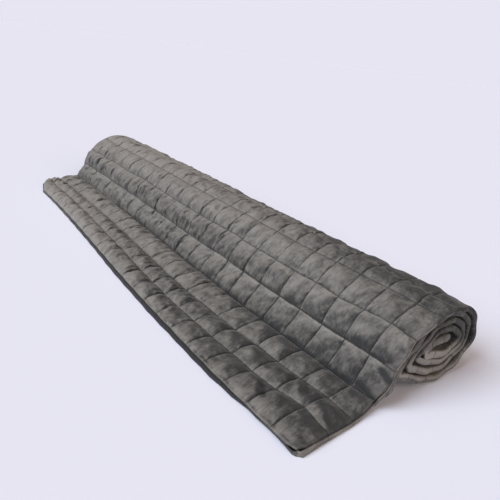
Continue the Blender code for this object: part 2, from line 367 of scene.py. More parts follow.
LINE, LINE_ALONG = section_line()


def ease(value, low, high):
    """0 below low and 1 above high, with a smooth cubic step between."""
    share = np.clip((value - low) / (high - low), 0, 1)
    return share * share * (3 - 2 * share)


def fall(value, lost, low, high):
    """1 below low and 1 less the lost share above high, with a smooth step between."""
    return 1 - lost * ease(value, low, high)


def bell(value, centre, spread):
    """1 at the centre, falling off smoothly on both sides: e^(-((value - centre) / spread)^2)."""
    return np.exp(-(((value - centre) / spread) ** 2))


def fade(distance, reach):
    """1 at a line, falling off from there: e^(-distance / reach)."""
    return np.exp(-distance / reach)


def lattice_noise(x, y, seed):
    """Smooth noise from -1 to 1: random heights on a unit lattice, eased between points."""
    count = 64  # points before the lattice repeats
    heights = np.random.default_rng(seed).uniform(-1, 1, (count, count))
    low_x = np.floor(x).astype(int)
    low_y = np.floor(y).astype(int)
    right = ease(x - low_x, 0, 1)
    up = ease(y - low_y, 0, 1)
    left_column, right_column = low_x % count, (low_x + 1) % count
    low_row, high_row = low_y % count, (low_y + 1) % count
    low = heights[left_column, low_row] * (1 - right) + heights[right_column, low_row] * right
    high = heights[left_column, high_row] * (1 - right) + heights[right_column, high_row] * right
    return low * (1 - up) + high * up


def cloth_noise(name, first, second):
    """One of the cloth's noises, at distances in the two directions of its sizes."""
    first_size, second_size, seed = NOISES[name]
    return lattice_noise(first / first_size, second / second_size, seed)


def section_at(distance):
    """Place (y, z) and outward normal of the middle surface at distances along it."""

    def place(passed):
        return [np.interp(passed, LINE_ALONG, column) for column in LINE.T]

    y, z = place(distance)
    reach = NORMAL_REACH * SQUARE
    ahead_y, ahead_z = place(distance + reach)
    behind_y, behind_z = place(distance - reach)
    way_y, way_z = ahead_y - behind_y, ahead_z - behind_z
    length = np.hypot(way_y, way_z)
    return y, z, -way_z / length, way_y / length


def corner_pull(from_end, from_edge, corner):
    """How far a point near a corner of the free edge is drawn in."""
    reach, share = corner
    near = np.clip(1 - from_end / reach, 0, None) * np.clip(1 - from_edge / reach, 0, None)
    return share * reach * near


def pucker(wave, to_seam):
    """A wave beside a seam, times d / r e^(1 - d / r) for a distance d and a reach r."""
    return wave * to_seam / PUCKER_REACH * np.exp(1 - to_seam / PUCKER_REACH)


def rounded(distance, round_size):
    """How far a panel stands out beside a hem: w (1 - e^(-d/w)), fading further in, d being
    the distance from the hem and w the size of the round."""
    return round_size * (1 - fade(distance, round_size)) * fade(distance, HEM_REACH)


def read_table(distance, table):
    """Each column past a table's first, read by straight lines between its rows."""
    first, *columns = zip(*table)
    return [np.interp(distance, first, column) for column in columns]


def hump(share, lean, power):
    """1 - |2s - 1|^n over a square, its top moved by the lean times sin^2."""
    leaning = share + lean * np.sin(np.pi * share) ** 2
    return 1 - np.abs(2 * leaning - 1) ** power


class Hem:
    """How places on a panel lie to the two hems across one direction: the distance from the
    nearer one, and what the table says of the first."""

    def __init__(self, distance, length, place, table):
        self.distance = np.minimum(distance, length - distance)
        self.first = distance < length / 2
        self.sign = np.where(self.first, 1.0, -1.0)
        self.share = fade(self.distance, TABLE_FADE) * self.first
        out, self.seam, self.foot = read_table(place, table)
        self.out = out * self.share

    def wave(self, depth, share):
        """Scallops beside the hem: depth times 1 - 2 sin^2 over each square."""
        return depth * (1 - 2 * np.sin(np.pi * share) ** 2) * bell(self.distance, 0, HEM_REACH)


class Hems:
    """How places on a panel lie to the hems at its ends and along its edges."""

    def __init__(self, quilt, across, along):
        self.end = Hem(along, quilt.length, across, NEAR_HEM)
        self.edge = Hem(across, quilt.width, along, FREE_HEM)
        self.nearest = np.minimum(self.edge.distance, self.end.distance)
        at_end = self.end.share > self.edge.share
        self.seam = np.where(at_end, self.end.seam, self.edge.seam)
        self.lying = quilt.row_fall(across, *LYING_ROWS)
        self.round = quilt.size.hem_round * (0.5 + 0.5 * self.lying)


class Quilt:
    """The blanket's cut and filling, with the maths of its surface."""

    def __init__(self, size):
        self.size = size
        self.square = size.square
        end = size.end_share * size.square
        inside = end + size.square * np.arange(size.columns - 1)
        self.column_seams = np.concatenate([[0], inside, [inside[-1] + end]])
        self.row_seams = size.square * np.arange(size.rows + 1)
        self.length = self.column_seams[-1]
        self.width = self.row_seams[-1]
        chance = np.random.default_rng(CELL_SEED)
        cells = (size.rows, size.columns)
        self.fullness = chance.uniform(*FULLNESS, cells)
        self.lean_across = chance.uniform(-LEAN, LEAN, cells)
        self.lean_along = chance.uniform(-LEAN, LEAN, cells)

    def cell(self, distance, seams):
        """Number of the square that a distance falls in, and the share of it passed."""
        number = np.searchsorted(seams, distance, side="right") - 1
        number = np.clip(number, 0, len(seams) - 2)
        return number, (distance - seams[number]) / (seams[number + 1] - seams[number])

    def row_fall(self, across, lost, low, high):
        """Fall between two numbers of rows from the free edge."""
        return fall(across, lost, low * self.square, high * self.square)

    def loose(self, across):
        """How loose the filling is: 0, and 1 in the last rows."""
        start, complete = LOOSE_ROWS
        return ease(across, self.width - start * self.square, self.width - complete * self.square)

    def slack(self, across, out_y, out_z):
        """How much the turns inside the roll hang out at its near end, by the way they
        face: to the left, and down to the left."""
        share = ease(across, *SLACK_START) * (1 - ease(across, *SLACK_END))
        left, down = DOWN_LEFT
        down_left = np.clip(-left * out_y - down * out_z, 0, 1) ** 2
        return share * np.clip(-out_y, 0, 1), share * down_left

    def middle(self, across, along):
        """Place and outward normal of the middle surface.

        The section gives y and z. Corners of the free edge are drawn in, and the seam
        lines shift by their table: by bell curves in the middle and near the near end, and
        by steps at both ends. At the near end the slack turns hang out.
        """
        pull = corner_pull(along, across, NEAR_CORNER)
        along, across = along + pull, across + pull
        pull = corner_pull(self.length - along, across, FAR_CORNER)
        along, across = along - pull, across + pull
        y, z, out_y, out_z = section_at(across)
        seams = self.square * np.arange(len(SEAM_SHIFTS))
        shifts = [np.interp(across, seams, column) for column in list(zip(*SEAM_SHIFTS))[1:]]
        mid_y, far_y, far_z, near_y, near_z, end_y, end_z = shifts
        far = ease(along, *FAR_REACH)
        near = bell(along, *NEAR_BELL)
        end = 1 - ease(along, *END_REACH)
        mid = bell(along, *MID_BELL)
        y = y + mid * mid_y + far * far_y + near * near_y + end * end_y
        z = z + far * far_z + near * near_z + end * end_z
        to_left, hanging = self.slack(across, out_y, out_z)
        y = y - end * (SLACK_LEFT * to_left + SLACK_DOWN[0] * hanging)
        z = z - end * SLACK_DOWN[1] * hanging
        return along, y, z, out_y, out_z

    def relief(self, across, along, side):
        """Height of the outward (1) or inward (-1) panel over the middle surface.

        Half the seam's thickness, plus the crown: (1 - |2s - 1|^n) across times the same
        along, over each square. The outward panel adds the arch of its row, its folds and
        a narrow groove at each seam, and away from the near end its cross seams draw the
        crown in less.
        """
        size = self.size
        row, row_share = self.cell(across, self.row_seams)
        column, column_share = self.cell(along, self.column_seams)
        hump_row = hump(row_share, self.lean_across[row, column], size.crown_power)
        hump_column = hump(column_share, self.lean_along[row, column], size.crown_power)
        full = self.fullness[row, column]
        crown_in = size.crown_in + LOOSE_CROWN * self.loose(across)
        if side == -1:
            return size.seam_half + crown_in * full * np.clip(hump_row * hump_column, 0, 1)

        pinch = fall(along, *PINCH_ALONG) * self.row_fall(across, *PINCH_ROWS)
        humps = np.clip(hump_row * (1 - pinch * (1 - hump_column)), 0, 1)
        filling = np.array(ROW_FILLING)[np.minimum(row, len(ROW_FILLING) - 1)]
        inner = ease(row + row_share, OUTER_ROWS - 1, OUTER_ROWS)
        crown = filling[..., 1] * (1 - inner) + crown_in * inner
        far = ease(along, *FAR_REACH)
        arch = filling[..., 2] * (1 - far) + filling[..., 3] * far
        arch = arch * (1 - fade(self.length - along, FAR_ARCH))
        arch = arch * np.sin(np.pi * row_share) * (1 - fade(along, NEAR_ARCH))
        to_row = np.minimum(row_share, 1 - row_share) * self.square
        to_column = np.minimum(column_share, 1 - column_share) * self.square
        folds = self.folds(across, along, humps, row_share, to_row, to_column)
        groove = bell(to_row, 0, size.groove_half)
        groove = np.maximum(groove, bell(to_column, 0, size.groove_half))
        height = size.seam_half + arch + crown * full * humps + (1 - inner) * folds
        return height - size.groove_depth * (1 - inner) * groove

    def folds(self, across, along, humps, row_share, to_row, to_column):
        """Lumps, gathers, puckers and single folds of the outward panel, as heights.

        Lumps are soft noise over each square. Gathers run across the rows, with sharp
        valleys where a stretched noise passes through 0, more of them towards the far
        end. Puckers are short waves square to a seam that die away from it.
        """
        size = self.size
        lump = cloth_noise("lumps", across, along)
        lump = lump + SMALL_LUMPS * cloth_noise("small_lumps", across, along)
        lumps = size.lump_height * lump * humps

        strayed = along + GATHER_STRAY * cloth_noise("gather_stray", across, along)
        large = np.abs(cloth_noise("gathers", strayed, across))
        small = np.abs(cloth_noise("small_gathers", strayed, across))
        patches = cloth_noise("gather_patches", along, across)
        patches = 1 - PATCH_DEPTH + PATCH_DEPTH * patches
        far = NEAR_GATHERS + (1 - NEAR_GATHERS) * ease(along, *GATHER_REACH)
        low = self.row_fall(across, *GATHER_ROWS)
        large_share, small_share, mean = GATHER_MIX
        gathers = size.gather_height * (large_share * large + small_share * small - mean)
        gathers = gathers * patches * far * low
        gathers = gathers * np.sqrt(np.clip(np.sin(np.pi * row_share), 0, 1))

        along_row = cloth_noise("row_puckers", along, across)
        along_column = cloth_noise("column_puckers", across, along)
        puckers = pucker(along_row, to_row) + pucker(along_column, to_column)
        return lumps + gathers + size.pucker_height * puckers + self.single(across, along)

    def single(self, across, along):
        """Height of the single folds, each a bell across the line between its two ends."""
        height = 0.0
        for _, *place, rise, half in FOLDS:
            from_along, from_across, to_along, to_across = np.array(place) * self.square
            way = np.array([to_along - from_along, to_across - from_across])
            past_along, past_across = along - from_along, across - from_across
            passed = (past_along * way[0] + past_across * way[1]) / (way @ way)
            share = np.clip(passed, 0, 1)
            off = np.hypot(past_along - share * way[0], past_across - share * way[1])
            height = height + rise * bell(off, 0, half)
        return height

    def hem_height(self, across, hems):
        """Height of a panel at its hem, fading into the squares beside it."""
        size = self.size
        _, _, out_y, out_z = section_at(across)
        _, hanging = self.slack(across, out_y, out_z)
        height = size.hem_half + (size.rolled_half - size.hem_half) * (1 - hems.lying)
        height = height + SLACK_HEM * hanging * hems.end.first
        height = height + LOOSE_HEM * self.loose(across)
        return height * fade(hems.nearest, HEM_FADE - FLAT_HEM_FADE * hems.lying)

    def strayed(self, across, along, hems):
        """Places moved on the cut, by a noise that lets the seams wander and by the
        scallops beside the hems."""
        size = self.size
        _, row_share = self.cell(across, self.row_seams)
        _, column_share = self.cell(along, self.column_seams)
        wander = size.seam_wander * (1 - fade(hems.nearest, HEM_REACH))
        at_across = across + wander * cloth_noise("wander_across", across, along)
        at_along = along + wander * cloth_noise("wander_along", across, along)
        end_wave = hems.end.wave(size.scallop, row_share) * (1 - hems.lying)
        edge_wave = hems.edge.wave(EDGE_SCALLOP * size.scallop, column_share)
        edge_wave = edge_wave * ease(along, *EDGE_SCALLOP_REACH)
        return at_across + hems.edge.sign * edge_wave, at_along + hems.end.sign * end_wave

    def wall(self, hem):
        """How far the inward panel stands out beside a hem of the flat rows: straight down
        from the seam to its foot with a slight belly, then back to its place."""
        cloth = self.size.wall_share * hem.seam
        drop = np.clip(hem.distance / cloth, 0, 1)
        seam_out = hem.out / np.maximum(fade(hem.distance, TABLE_FADE), NEAR_ZERO)
        seam_out = np.where(drop < 1, seam_out, hem.foot)
        level = seam_out * (1 - drop) + hem.foot * drop
        level = level + 4 * drop * (1 - drop) * self.size.wall_belly
        beyond = np.clip(hem.distance - cloth, 0, None)
        return (np.minimum(hem.distance, cloth) + level) * fade(beyond, HEM_REACH)

    def stand_out(self, across, hems, side):
        """How far a panel stands out past its ends and past its edges: by its round and
        the hem tables, and the inward one by its wall and the lip at the roll's foot."""
        end, edge = hems.end, hems.edge
        out_end, out_edge = [rounded(hem.distance, hems.round) + hem.out for hem in (end, edge)]
        if side == 1:
            return out_end, out_edge
        out_end = out_end + hems.lying * end.first * (self.wall(end) - out_end)
        out_edge = out_edge + hems.lying * edge.first * (self.wall(edge) - out_edge)
        past = out_end + out_edge - end.distance - edge.distance - self.size.foot_corner
        past = np.clip(past, 0, None) * end.first * edge.first / 2
        out_end, out_edge = out_end - past, out_edge - past

        bulge = bell(across, *LIP_BELL) * end.first
        lip = np.minimum(end.distance, LIP_REACH) * (1 + LIP_OUT / LIP_REACH * bulge)
        lip = lip * fade(np.clip(end.distance - LIP_REACH, 0, None), HEM_REACH)
        return out_end + bulge * (lip - out_end), out_edge

    def sag(self, across, end, out_z):
        """How far the roll's top sags in at its near end: a bell over the distance, less
        where the roll turns down."""
        size = self.size
        reach = size.sag_reach * fall(across, *SAG_REACH_ACROSS)
        sag = size.end_sag * bell(end.distance, 0, reach) * end.first
        sag = sag * np.clip(out_z, 0, 1) * ease(across, *SAG_START)
        return sag * fall(across, *SAG_ACROSS)

    def panel(self, across, along, side):
        """Points of the outward (1) or inward (-1) panel, and its height over the middle.

        Beside a hem a panel has the share 1 - e^(-d/w) of its height, d being the distance
        from the hem and w the size of the round. The inward panel of the flat rows comes
        down from its hem to the floor.
        """
        across, along = np.broadcast_arrays(across, along)
        hems = Hems(self, across, along)
        height = np.maximum(self.relief(across, along, side), self.hem_height(across, hems))
        x, y, z, out_y, out_z = self.middle(*self.strayed(across, along, hems))
        hold = np.maximum(hems.end.share, hems.edge.share) * hems.lying
        z = z + hold * (np.minimum(hems.seam, z + HEM_LIFT) - z)

        out_end, out_edge = self.stand_out(across, hems, side)
        out_edge = hems.edge.sign * out_edge
        x = x - hems.end.sign * out_end
        y = y - out_edge * out_z
        z = z + out_edge * out_y * (1 - hems.lying)
        hem_z = z

        full_end, full_edge = [1 - fade(h.distance, hems.round) for h in (hems.end, hems.edge)]
        height = height * (full_end * full_edge)
        lift = side * height - self.sag(across, hems.end, out_z)
        y = y + lift * out_y
        z = z + lift * out_z
        if side == -1:
            on_floor = self.row_fall(across, *FLOOR_ROWS)
            passed = 1 - ease(hems.nearest, 0, self.size.wall_share * hems.seam)
            z = z * (1 - on_floor) + on_floor * hem_z * passed
        points = [BLANKET_HIGH.x - x, BLANKET_LOW.y + y, np.clip(z, 0, None)]
        return np.stack(points, axis=-1), height

    def lit(self, across):
        """How much the wound turns face down and to the left, where they are painted lighter."""
        _, _, out_y, out_z = section_at(across)
        left, down = PAINTED_LIT_WAY
        return np.clip(PAINTED_LIT_LEVEL - down * out_z - left * out_y, 0, 1)

    def table_lie_and_painted_light(self, across, along):
        """How light the pile lies by its table, with its painted light and shade, read by
        straight lines both ways.
        """
        by_row = np.array(read_table(across / self.square - 0.5, PILE_LIE_AND_PAINTED_LIGHT))
        place = np.interp(along, LIE_ALONG, np.arange(len(LIE_ALONG)))
        low = np.minimum(place.astype(int), len(LIE_ALONG) - 2)
        before = (1 - place + low)[:, None]
        after = (place - low)[:, None]
        return (by_row[low] * before + by_row[low + 1] * after).T

    def under_pile_and_painted_light(self, across, along):
        """How light the inward panel's pile lies, with painted light and shade: lighter away from
        the near end, painted light at its hem, most where it faces the light, and painted shade
        along the edges."""
        lie_and_painted_light = UNDER_LIE + UNDER_PAINTED_LIGHT * ease(along, *UNDER_REACH)
        lie_and_painted_light = lie_and_painted_light + LOOSE_LIE * self.loose(across)
        wound = ease(across / self.square, *WOUND_ROWS)
        facing = 1 - wound * (1 - self.lit(across))
        # Painted light at the near hem, and painted shade along the edges.
        painted_end_light = END_PAINTED_LIGHT * facing * fade(along, END_PAINTED_LIGHT_FADE) - END_PAINTED_LIGHT_LESS
        from_edge = np.minimum(across, self.width - across)
        shade = ease(along, *EDGE_SHADE_START) * fall(along, *EDGE_SHADE_ALONG)
        shade = EDGE_SHADE * fade(from_edge, EDGE_SHADE_FADE) * shade
        return lie_and_painted_light + (painted_end_light - shade)

    def stroke(self, across, along, height, side):
        """How light the pile lies on a panel's grid, with painted light and shade: by its table,
        which holds both, painted lighter where the surface faces the light's way, and painted
        shade on the sides of the gathers and in the valleys of single folds."""
        size = self.size
        rows = across[:, None]
        if side == -1:
            return self.under_pile_and_painted_light(rows, along)
        inside = ease(rows / self.square, OUTER_ROWS - 1, OUTER_ROWS)
        wound = ease(rows / self.square, *WOUND_ROWS)
        # Painted shade inside the roll, with painted light at its near hem where the turns face
        # the light.
        lit = self.lit(rows) * fade(along, CORE_PAINTED_LIGHT_FADE)
        lie_and_painted_light = self.table_lie_and_painted_light(across, along)
        lie_and_painted_light = lie_and_painted_light * (1 - inside) + inside * (CORE_SHADED_LIE + CORE_PAINTED_LIGHT * lit)
        lie_and_painted_light = lie_and_painted_light + LOOSE_LIE * self.loose(rows)
        # Painted shade at the near hem of the roll's outer turns.
        lie_and_painted_light = lie_and_painted_light - WOUND_SHADE * (1 - inside) * fade(along, WOUND_SHADE_FADE) * wound

        # Painted light: slopes that face the light's way are painted lighter, those that face
        # away darker.
        rise_across, rise_along = np.gradient(height, across, along)
        _, _, out_y, out_z = section_at(rows)
        painted_light_way = Vector(size.painted_light_way)
        over = out_z * painted_light_way.y - out_y * painted_light_way.z
        to_side = rise_along * painted_light_way.x * ease(along, *PAINTED_SIDE_START)
        steep = np.tanh((rise_across * over - to_side) * size.painted_light_softness) / size.painted_light_softness
        gain = size.painted_light_gain * fall(along, *PAINTED_LIGHT_ALONG)
        # Painted shade on the sides of the gathers and in the valleys of single folds.
        painted_creases = size.painted_crease_shade * np.abs(rise_along) * ease(along, *PAINTED_CREASE_START)
        painted_creases = painted_creases + size.painted_fold_shade * np.clip(-self.single(rows, along), 0, None)
        return lie_and_painted_light - gain * steep - painted_creases


def grid_lines(seams, steps, hem_near, hem_far):
    """Distances of a grid's lines: in every square closest at its seams, with the hem's own
    lines next to a hem. A line is at start + width (s - c sin(2 pi s) / 2 pi)."""
    share = np.arange(1, steps + 1) / steps
    share = share - SEAM_CROWDING * np.sin(2 * np.pi * share) / (2 * np.pi)
    widths = np.diff(seams)
    lines = [seams[:1]]
    hem = np.array(HEM_LINES)
    for number, (start, width) in enumerate(zip(seams[:-1], widths)):
        inside = start + width * share
        if number == 0 and hem_near:
            inside = np.concatenate([hem[1:], inside[inside > hem[-1] + HEM_LINE_GAP]])
        if number == len(widths) - 1 and hem_far:
            end = seams[-1]
            inside = inside[inside < end - hem[-1] - HEM_LINE_GAP]
            inside = np.concatenate([inside, end - hem[::-1]])
        lines.append(inside)
    return np.concatenate(lines)


def grid_faces(rows, columns, first, outward):
    """Corner numbers of a grid's four-sided faces, the grid's points counted from first."""
    corner = first + (np.arange(rows - 1)[:, None] * columns + np.arange(columns - 1)).ravel()
    faces = np.stack([corner, corner + 1, corner + 1 + columns, corner + columns], axis=1)
    return faces[:, ::-1] if outward else faces


def strip_faces(fine, coarse, kept, outward):
    """Triangles between a fine line of points and a coarse one that keeps some of them.

    Each fine step joins the nearest kept point, and each coarse step joins the fine point
    where the nearest kept point changes.
    """
    steps = np.arange(len(fine) - 1)
    middle = (kept[:-1] + kept[1:]) // 2
    near = np.searchsorted(middle, steps, side="right")
    first = np.stack([fine[steps], fine[steps + 1], coarse[near]], axis=1)
    second = np.stack([coarse[:-1], fine[middle], coarse[1:]], axis=1)
    faces = np.concatenate([first, second])
    return faces[:, ::-1] if outward else faces


class Grids:
    """Grids of one mesh, gathered: points, faces, how light the points' pile lies with its
    painted
    light and shade, and places: flats on the cut, in metres, and bakes on a square that holds
    both panels side by side."""

    def __init__(self, quilt):
        self.quilt = quilt
        self.points, self.flats, self.bakes, self.strokes, self.faces = [], [], [], [], []
        self.count = 0

    def add(self, across, along, side):
        """Adds a panel's points on these lines, and returns the number of the first."""
        quilt = self.quilt
        points, height = quilt.panel(across[:, None], along[None, :], side)
        self.points.append(points.reshape(-1, 3))
        self.strokes.append(quilt.stroke(across, along, height, side).ravel())
        flat = np.stack(np.broadcast_arrays(along[None, :], across[:, None]), axis=-1)
        flat = flat.reshape(-1, 2)
        shift = 0.0 if side == 1 else quilt.length
        self.flats.append(flat + (shift, 0))
        left = BAKE_MARGIN if side == 1 else 0.5 + BAKE_MARGIN
        room = (0.5 - 2 * BAKE_MARGIN, 1 - 2 * BAKE_MARGIN)
        self.bakes.append((left, BAKE_MARGIN) + flat / (quilt.length, quilt.width) * room)
        first = self.count
        self.count += len(across) * len(along)
        return first


def blanket_grids(quilt):
    """Both panels as grids on common lines, stitched where fine and coarse ones meet."""
    rows, columns = quilt.row_seams, quilt.column_seams
    outer = grid_lines(rows[: OUTER_ROWS + 1], FINE_STEPS, True, False)
    inner = grid_lines(rows[OUTER_ROWS:], INNER_STEPS, False, True)
    fine = grid_lines(columns, FINE_STEPS, True, True)
    full = np.searchsorted(fine, columns[FULL_COLUMNS] - MERGE_STEP)
    last = len(fine) - full
    kept = [np.arange(full), np.arange(full, last, COARSE_STEP), np.arange(last, len(fine))]
    kept = np.concatenate(kept)
    coarse = fine[kept]
    grids = Grids(quilt)

    outside = grids.add(outer, fine, 1)
    wound = grids.add(inner[1:], coarse, 1)
    across = np.concatenate([outer, inner[1:]])
    under = grids.add(across[1:], coarse, -1)
    hem = grids.add(across[:1], fine, -1) + np.arange(len(fine))
    edge = outside + (len(outer) - 1) * len(fine) + np.arange(len(fine))
    ring = np.arange(len(coarse))
    grids.faces = [
        grid_faces(len(outer), len(fine), outside, True),
        grid_faces(len(inner) - 1, len(coarse), wound, True),
        grid_faces(len(across) - 1, len(coarse), under, False),
        strip_faces(edge, wound + ring, kept, False),
        strip_faces(hem, under + ring, kept, False),
    ]
    return grids


def closed_mesh(name, grids):
    """A mesh from the gathered grids, with points that meet made one."""
    points = np.concatenate(grids.points)
    strokes = np.concatenate(grids.strokes)
    whole = np.round(points / MERGE_STEP).astype(np.int64)
    _, first, index = np.unique(whole, axis=0, return_index=True, return_inverse=True)
    index = index.reshape(-1)
    corners = np.concatenate([f.ravel() for f in grids.faces])
    sizes = np.concatenate([np.full(len(f), f.shape[1]) for f in grids.faces])
    starts = np.concatenate([[0], np.cumsum(sizes)[:-1]])
    mesh = bpy.data.meshes.new(name)
    mesh.vertices.add(len(first))
    mesh.vertices.foreach_set("co", points[first].astype(np.float32).ravel())
    mesh.loops.add(len(corners))
    mesh.loops.foreach_set("vertex_index", index[corners].astype(np.int32))
    mesh.polygons.add(len(sizes))
    mesh.polygons.foreach_set("loop_start", starts.astype(np.int32))
    mesh.polygons.foreach_set("use_smooth", np.ones(len(sizes), bool))
    for layer, places in (("panel", grids.flats), ("OFBake", grids.bakes)):
        places = np.concatenate(places)[corners].astype(np.float32)
        mesh.uv_layers.new(name=layer).uv.foreach_set("vector", places.ravel())
    stroke = mesh.attributes.new("stroke", "FLOAT", "POINT")
    stroke.data.foreach_set("value", np.clip(strokes[first], -1, 1).astype(np.float32))
    mesh.update()
    mesh.validate()
    return mesh


def linear(colour):
    """An sRGB hex value as linear red, green, blue and alpha."""
    parts = np.array([int(colour[i : i + 2], 16) / 255 for i in (1, 3, 5)])
    low = parts / 12.92
    high = ((parts + 0.055) / 1.055) ** 2.4
    return (*np.where(parts <= 0.04045, low, high), 1.0)


def add_node(tree, kind, links=(), **settings):
    """Adds a shader node, sets its properties and inputs, and links its inputs."""
    node = tree.nodes.new(kind)
    inputs = settings.pop("inputs", {})
    for key, value in settings.items():
        setattr(node, key, value)
    for key, value in inputs.items():
        node.inputs[key].default_value = value
    for key, source in dict(links).items():
        tree.links.new(source, node.inputs[key])
    return node


def add_math(tree, operation, *values):
    """Adds a math node whose inputs are numbers or other nodes' outputs."""
    sockets = dict(enumerate(values))
    links = {k: v for k, v in sockets.items() if isinstance(v, bpy.types.NodeSocket)}
    inputs = {k: v for k, v in sockets.items() if k not in links}
    return add_node(tree, "ShaderNodeMath", links, operation=operation, inputs=inputs).outputs[0]


def add_noise(tree, place, size, detail, **inputs):
    """Adds noise whose lumps are about this size in metres."""
    inputs = {"Scale": 1 / size, "Detail": detail, **inputs}
    node = add_node(tree, "ShaderNodeTexNoise", {"Vector": place}, inputs=inputs)
    return node.outputs["Fac"]


def add_range(tree, value, low, high, to_low=0.0, to_high=1.0):
    """Adds a smooth step from one range to another."""
    inputs = {"From Min": low, "From Max": high, "To Min": to_low, "To Max": to_high}
    kind = "ShaderNodeMapRange"
    settings = {"interpolation_type": "SMOOTHSTEP", "inputs": inputs}
    return add_node(tree, kind, {"Value": value}, **settings).outputs[0]


def add_mix(tree, share, first, second, blend="MIX"):
    """Adds a colour mix of numbers or other nodes' outputs. The share is the node's input
    0, the colours are its inputs 6 and 7, and its output 2 is the mixed colour."""
    node = add_node(tree, "ShaderNodeMix", data_type="RGBA", blend_type=blend)
    for socket, value in ((0, share), (6, first), (7, second)):
        if isinstance(value, bpy.types.NodeSocket):
            tree.links.new(value, node.inputs[socket])
        else:
            node.inputs[socket].default_value = value
    return node.outputs[2]


def seam_distance(tree, panel, quilt):
    """Distance to the nearest quilting seam or hem, from the place on the flat cut."""
    apart = add_node(tree, "ShaderNodeSeparateXYZ", {"Vector": panel})
    half = quilt.square / 2
    along = add_math(tree, "PINGPONG", apart.outputs["X"], float(quilt.length))
    ends = add_math(tree, "SUBTRACT", along, float(quilt.column_seams[1]))
    to_column = add_math(tree, "PINGPONG", ends, half)
    to_end = add_math(tree, "PINGPONG", along, float(quilt.length / 2))
    start, complete = END_GROOVE_ROWS
    rolled = add_range(tree, apart.outputs["Y"], start * quilt.square, complete * quilt.square)
    to_end = add_math(tree, "MULTIPLY", to_end, END_GROOVE_SHARE)
    to_end = add_math(tree, "ADD", to_end, rolled)
    to_row = add_math(tree, "PINGPONG", apart.outputs["Y"], half)
    return add_math(tree, "MINIMUM", add_math(tree, "MINIMUM", to_column, to_end), to_row)


def plush_material(look, quilt):
    """Brushed polyester plush: a short dense pile, matt, with a soft glow where it is seen
    from the side, and lighter and darker patches where the pile was stroked either way. How light
    the pile lies also carries painted light and shade: lighter on slopes that face the light and
    at the near hem, darker in folds, on the gathers' sides, along the edges and inside the roll."""
    material = bpy.data.materials.new("brushed_plush")
    material.use_nodes = True
    tree = material.node_tree
    tree.nodes.clear()
    panel = add_node(tree, "ShaderNodeUVMap", uv_map="panel").outputs["UV"]
    stroke = add_node(tree, "ShaderNodeAttribute", attribute_name="stroke").outputs["Fac"]

    # Pile that was stroked over in patches, and finer streaks along its lie, added to the
    # lie with its painted light and shade. That and both noises are about a half on average, and
    # so light and dark are mixed round that.
    patches = add_noise(tree, panel, PATCH_SIZE, detail=5.0, Roughness=0.62, Distortion=0.6)
    along_size, across_size = STREAK_SIZE
    streak_scale = {"Scale": (1 / along_size, 1 / across_size, 1)}
    stretched = add_node(tree, "ShaderNodeMapping", {"Vector": panel}, inputs=streak_scale)
    streaks = add_noise(tree, stretched.outputs["Vector"], 1.0, detail=3.0, Roughness=0.6)
    lie_and_painted_light = add_math(tree, "MULTIPLY_ADD", patches, look.patch_share, stroke)
    lie_and_painted_light = add_math(tree, "MULTIPLY_ADD", streaks, look.streak_share, lie_and_painted_light)
    middle = 0.5 + 0.5 * (look.patch_share + look.streak_share)
    nap_and_painted_light = add_range(tree, lie_and_painted_light, middle - look.nap_half, middle + look.nap_half)
    colour = add_mix(tree, nap_and_painted_light, linear(look.pile_dark), linear(look.pile_light))

    # Painted shade: where the pile lies darkest, in folds, the colour is darkened further.
    painted_hollow_shade = add_range(tree, stroke, *FOLD_PILE, FOLD_SHADE, 1.0)
    painted_shade_grey = add_node(tree, "ShaderNodeCombineColor", {0: painted_hollow_shade, 1: painted_hollow_shade, 2: painted_hollow_shade})
    colour = add_mix(tree, 1.0, colour, painted_shade_grey.outputs[0], "MULTIPLY")

    # The stitched groove hides from the light and shows the darker ground of the cloth.
    apart = seam_distance(tree, panel, quilt)
    uneven = add_noise(tree, panel, CLUMP_SIZE, detail=1.0)
    apart = add_math(tree, "MULTIPLY_ADD", uneven, -GROOVE_STRAY, apart)
    groove = add_range(tree, apart, *GROOVE_EDGE, 1.0, 0.0)
    ground = (GROOVE_SHADE, GROOVE_SHADE, GROOVE_SHADE, 1.0)
    colour = add_mix(tree, groove, colour, ground, "MULTIPLY")

    # The pile's tufts, and the clumps that they lean into, raise the surface.
    tufts = add_noise(tree, panel, TUFT_SIZE, detail=2.0, Roughness=0.6)
    clumps = add_noise(tree, panel, CLUMP_SIZE, detail=2.0, Roughness=0.5)
    fine = {"Strength": 0.5, "Distance": TUFT_DEPTH}
    fine_bump = add_node(tree, "ShaderNodeBump", {"Height": tufts}, inputs=fine)
    links = {"Height": clumps, "Normal": fine_bump.outputs["Normal"]}
    coarse = {"Strength": 0.7, "Distance": CLUMP_DEPTH}
    bump = add_node(tree, "ShaderNodeBump", links, inputs=coarse)
    surface = {
        "Roughness": 0.9,
        "Specular IOR Level": 0.2,
        "Sheen Weight": look.glow,
        "Sheen Roughness": 0.45,
        "Sheen Tint": linear(look.glow_colour),
    }
    links = {"Base Color": colour, "Normal": bump.outputs["Normal"]}
    shader = add_node(tree, "ShaderNodeBsdfPrincipled", links, inputs=surface)
    add_node(tree, "ShaderNodeOutputMaterial", {"Surface": shader.outputs["BSDF"]})
    return material


def backdrop_material(colour):
    """Matt seamless paper: one even pale colour."""
    material = bpy.data.materials.new("seamless_paper")
    material.use_nodes = True
    shader = material.node_tree.nodes["Principled BSDF"]
    shader.inputs["Base Color"].default_value = (*colour, 1.0)
    shader.inputs["Roughness"].default_value = 1.0
    shader.inputs["Specular IOR Level"].default_value = 0.0
    return material


def number(name, description, default, **more):
    """A number property."""
    return FloatProperty(name=name, description=description, default=default, **more)


def length(name, description, default):
    """A length property in metres."""
    return number(name, description, default, unit="LENGTH", precision=4)


